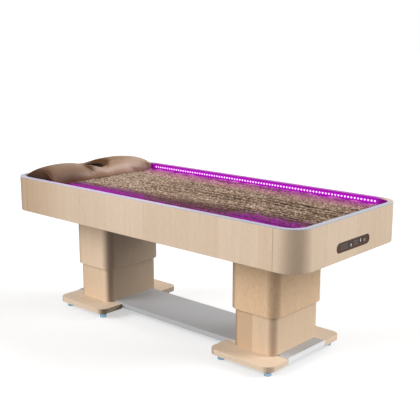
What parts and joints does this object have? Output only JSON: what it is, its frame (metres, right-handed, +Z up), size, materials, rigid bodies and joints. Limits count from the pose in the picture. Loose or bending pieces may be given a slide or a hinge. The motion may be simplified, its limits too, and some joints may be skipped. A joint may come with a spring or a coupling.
{
  "type": "spa relaxation lounger",
  "caption": "Heated sand bed: rounded veneered tub of sand lit from under its rim, with a head cushion and face hole, on lifting columns on a low base.",
  "frame": {"origin": "on the floor under the middle of the tub", "axes": "+X along the length towards the foot end with the control panel, +Y away from the side that faces the camera, +Z up"},
  "size_m": [2.15, 0.93, 0.8911],
  "materials": {
    "veneer": "fine upright grain, satin",
    "column_veneer": "fine upright grain, satin",
    "base_veneer": "fine grain along the board, satin",
    "rim": "satin",
    "liner": "smooth",
    "sand": "coarse loose grains",
    "cushion_cover": "soft grained leatherette",
    "board": "plain board",
    "light_strip": "matte",
    "light_chip": "lit lens",
    "fascia": "smooth dark",
    "housing": "matte",
    "window": "smoked",
    "key": "satin",
    "circuit": "solder mask",
    "unit": "matte",
    "insulation": "foam",
    "heater": "silicone",
    "frame_steel": "powder coat",
    "column_metal": "drawn",
    "glide": "matte",
    "motor": "matte",
    "spindle": "rolled",
    "nut": "turned",
    "fastener": "zinc plated",
    "spine_paint": "satin grey",
    "spine_cap": "satin white",
    "inlet": "matte",
    "foot_chrome": "polished"
  },
  "bodies": {
    "base": {"spine_channel": "spine_paint", "spine_cap_head": "spine_cap", "spine_cap_foot": "spine_cap", "mains_inlet": "inlet", "cross_tubes": "frame_steel", "foot_inserts": "fastener", "wing_head_near": "base_veneer", "wing_head_far": "base_veneer", "wing_foot_near": "base_veneer", "wing_foot_far": "base_veneer", "lower_sleeve_head": "column_veneer", "lower_sleeve_foot": "column_veneer", "column_outer_head": "column_metal", "column_outer_foot": "column_metal", "glide_pads": "glide", "gear_motors": "motor", "column_base_bolts": "fastener"},
    "tub": {"side_panel_near": "veneer", "side_panel_far": "veneer", "end_panel_head": "veneer", "end_panel_foot": "veneer", "upper_sleeve_head": "column_veneer", "upper_sleeve_foot": "column_veneer", "rim_trim": "rim", "basin": "liner", "sand_bed": "sand", "cushion_shelf": "board", "sand_divider": "board", "shelf_cleats": "board", "bottom_cover": "board", "led_strips": "light_strip", "led_chips": "light_chip", "control_fascia": "fascia", "control_housing": "housing", "display_windows": "window", "circuit_board": "circuit", "control_unit": "unit", "insulation_board": "insulation", "heating_mat": "heater", "frame_rails": "frame_steel", "mount_plates": "frame_steel", "column_inner_head": "column_metal", "column_inner_foot": "column_metal", "spindle_nuts": "nut", "column_top_bolts": "fastener"},
    "cushion": {"head_cushion": "cushion_cover", "cushion_board": "board"},
    "spindle_head": {"spindle_head": "spindle"},
    "spindle_foot": {"spindle_foot": "spindle"},
    "key_1": {"key_1": "key"},
    "key_2": {"key_2": "key"},
    "key_3": {"key_3": "key"},
    "levelling_foot_1": {"levelling_foot_1": "foot_chrome"},
    "levelling_foot_2": {"levelling_foot_2": "foot_chrome"},
    "levelling_foot_3": {"levelling_foot_3": "foot_chrome"},
    "levelling_foot_4": {"levelling_foot_4": "foot_chrome"},
    "levelling_foot_5": {"levelling_foot_5": "foot_chrome"},
    "levelling_foot_6": {"levelling_foot_6": "foot_chrome"},
    "levelling_foot_7": {"levelling_foot_7": "foot_chrome"},
    "levelling_foot_8": {"levelling_foot_8": "foot_chrome"}
  },
  "joints": [
    {"name": "lift", "type": "slide", "parent": "base", "child": "tub", "axis": [0, 0, 1], "range_m": [-0.12, 0.12]},
    {"name": "cushion_lift_off", "type": "slide", "parent": "tub", "child": "cushion", "axis": [0, 0, 1], "range_m": [0, 0.2]},
    {"name": "spindle_head_turn", "type": "hinge", "parent": "base", "child": "spindle_head", "pos_m": [-0.641, -0.028, 0.2], "axis": [0, 0, 1], "range_deg": [-5405, 5405]},
    {"name": "spindle_foot_turn", "type": "hinge", "parent": "base", "child": "spindle_foot", "pos_m": [0.619, -0.028, 0.2], "axis": [0, 0, 1], "range_deg": [-5405, 5405]},
    {"name": "key_1_press", "type": "slide", "parent": "tub", "child": "key_1", "axis": [-1, 0, 0], "range_m": [0, 0.0008], "stiffness_N_per_m": 500},
    {"name": "key_2_press", "type": "slide", "parent": "tub", "child": "key_2", "axis": [-1, 0, 0], "range_m": [0, 0.0008], "stiffness_N_per_m": 500},
    {"name": "key_3_press", "type": "slide", "parent": "tub", "child": "key_3", "axis": [-1, 0, 0], "range_m": [0, 0.0008], "stiffness_N_per_m": 500},
    {"name": "levelling_foot_1_screw", "type": "slide", "parent": "base", "child": "levelling_foot_1", "axis": [0, 0, -1], "range_m": [0, 0.01]},
    {"name": "levelling_foot_2_screw", "type": "slide", "parent": "base", "child": "levelling_foot_2", "axis": [0, 0, -1], "range_m": [0, 0.01]},
    {"name": "levelling_foot_3_screw", "type": "slide", "parent": "base", "child": "levelling_foot_3", "axis": [0, 0, -1], "range_m": [0, 0.01]},
    {"name": "levelling_foot_4_screw", "type": "slide", "parent": "base", "child": "levelling_foot_4", "axis": [0, 0, -1], "range_m": [0, 0.01]},
    {"name": "levelling_foot_5_screw", "type": "slide", "parent": "base", "child": "levelling_foot_5", "axis": [0, 0, -1], "range_m": [0, 0.01]},
    {"name": "levelling_foot_6_screw", "type": "slide", "parent": "base", "child": "levelling_foot_6", "axis": [0, 0, -1], "range_m": [0, 0.01]},
    {"name": "levelling_foot_7_screw", "type": "slide", "parent": "base", "child": "levelling_foot_7", "axis": [0, 0, -1], "range_m": [0, 0.01]},
    {"name": "levelling_foot_8_screw", "type": "slide", "parent": "base", "child": "levelling_foot_8", "axis": [0, 0, -1], "range_m": [0, 0.01]}
  ],
  "couplings": [
    {"joint": "spindle_head_turn", "follows": "lift", "rad_per_m": -785.4},
    {"joint": "spindle_foot_turn", "follows": "lift", "rad_per_m": -785.4}
  ]
}
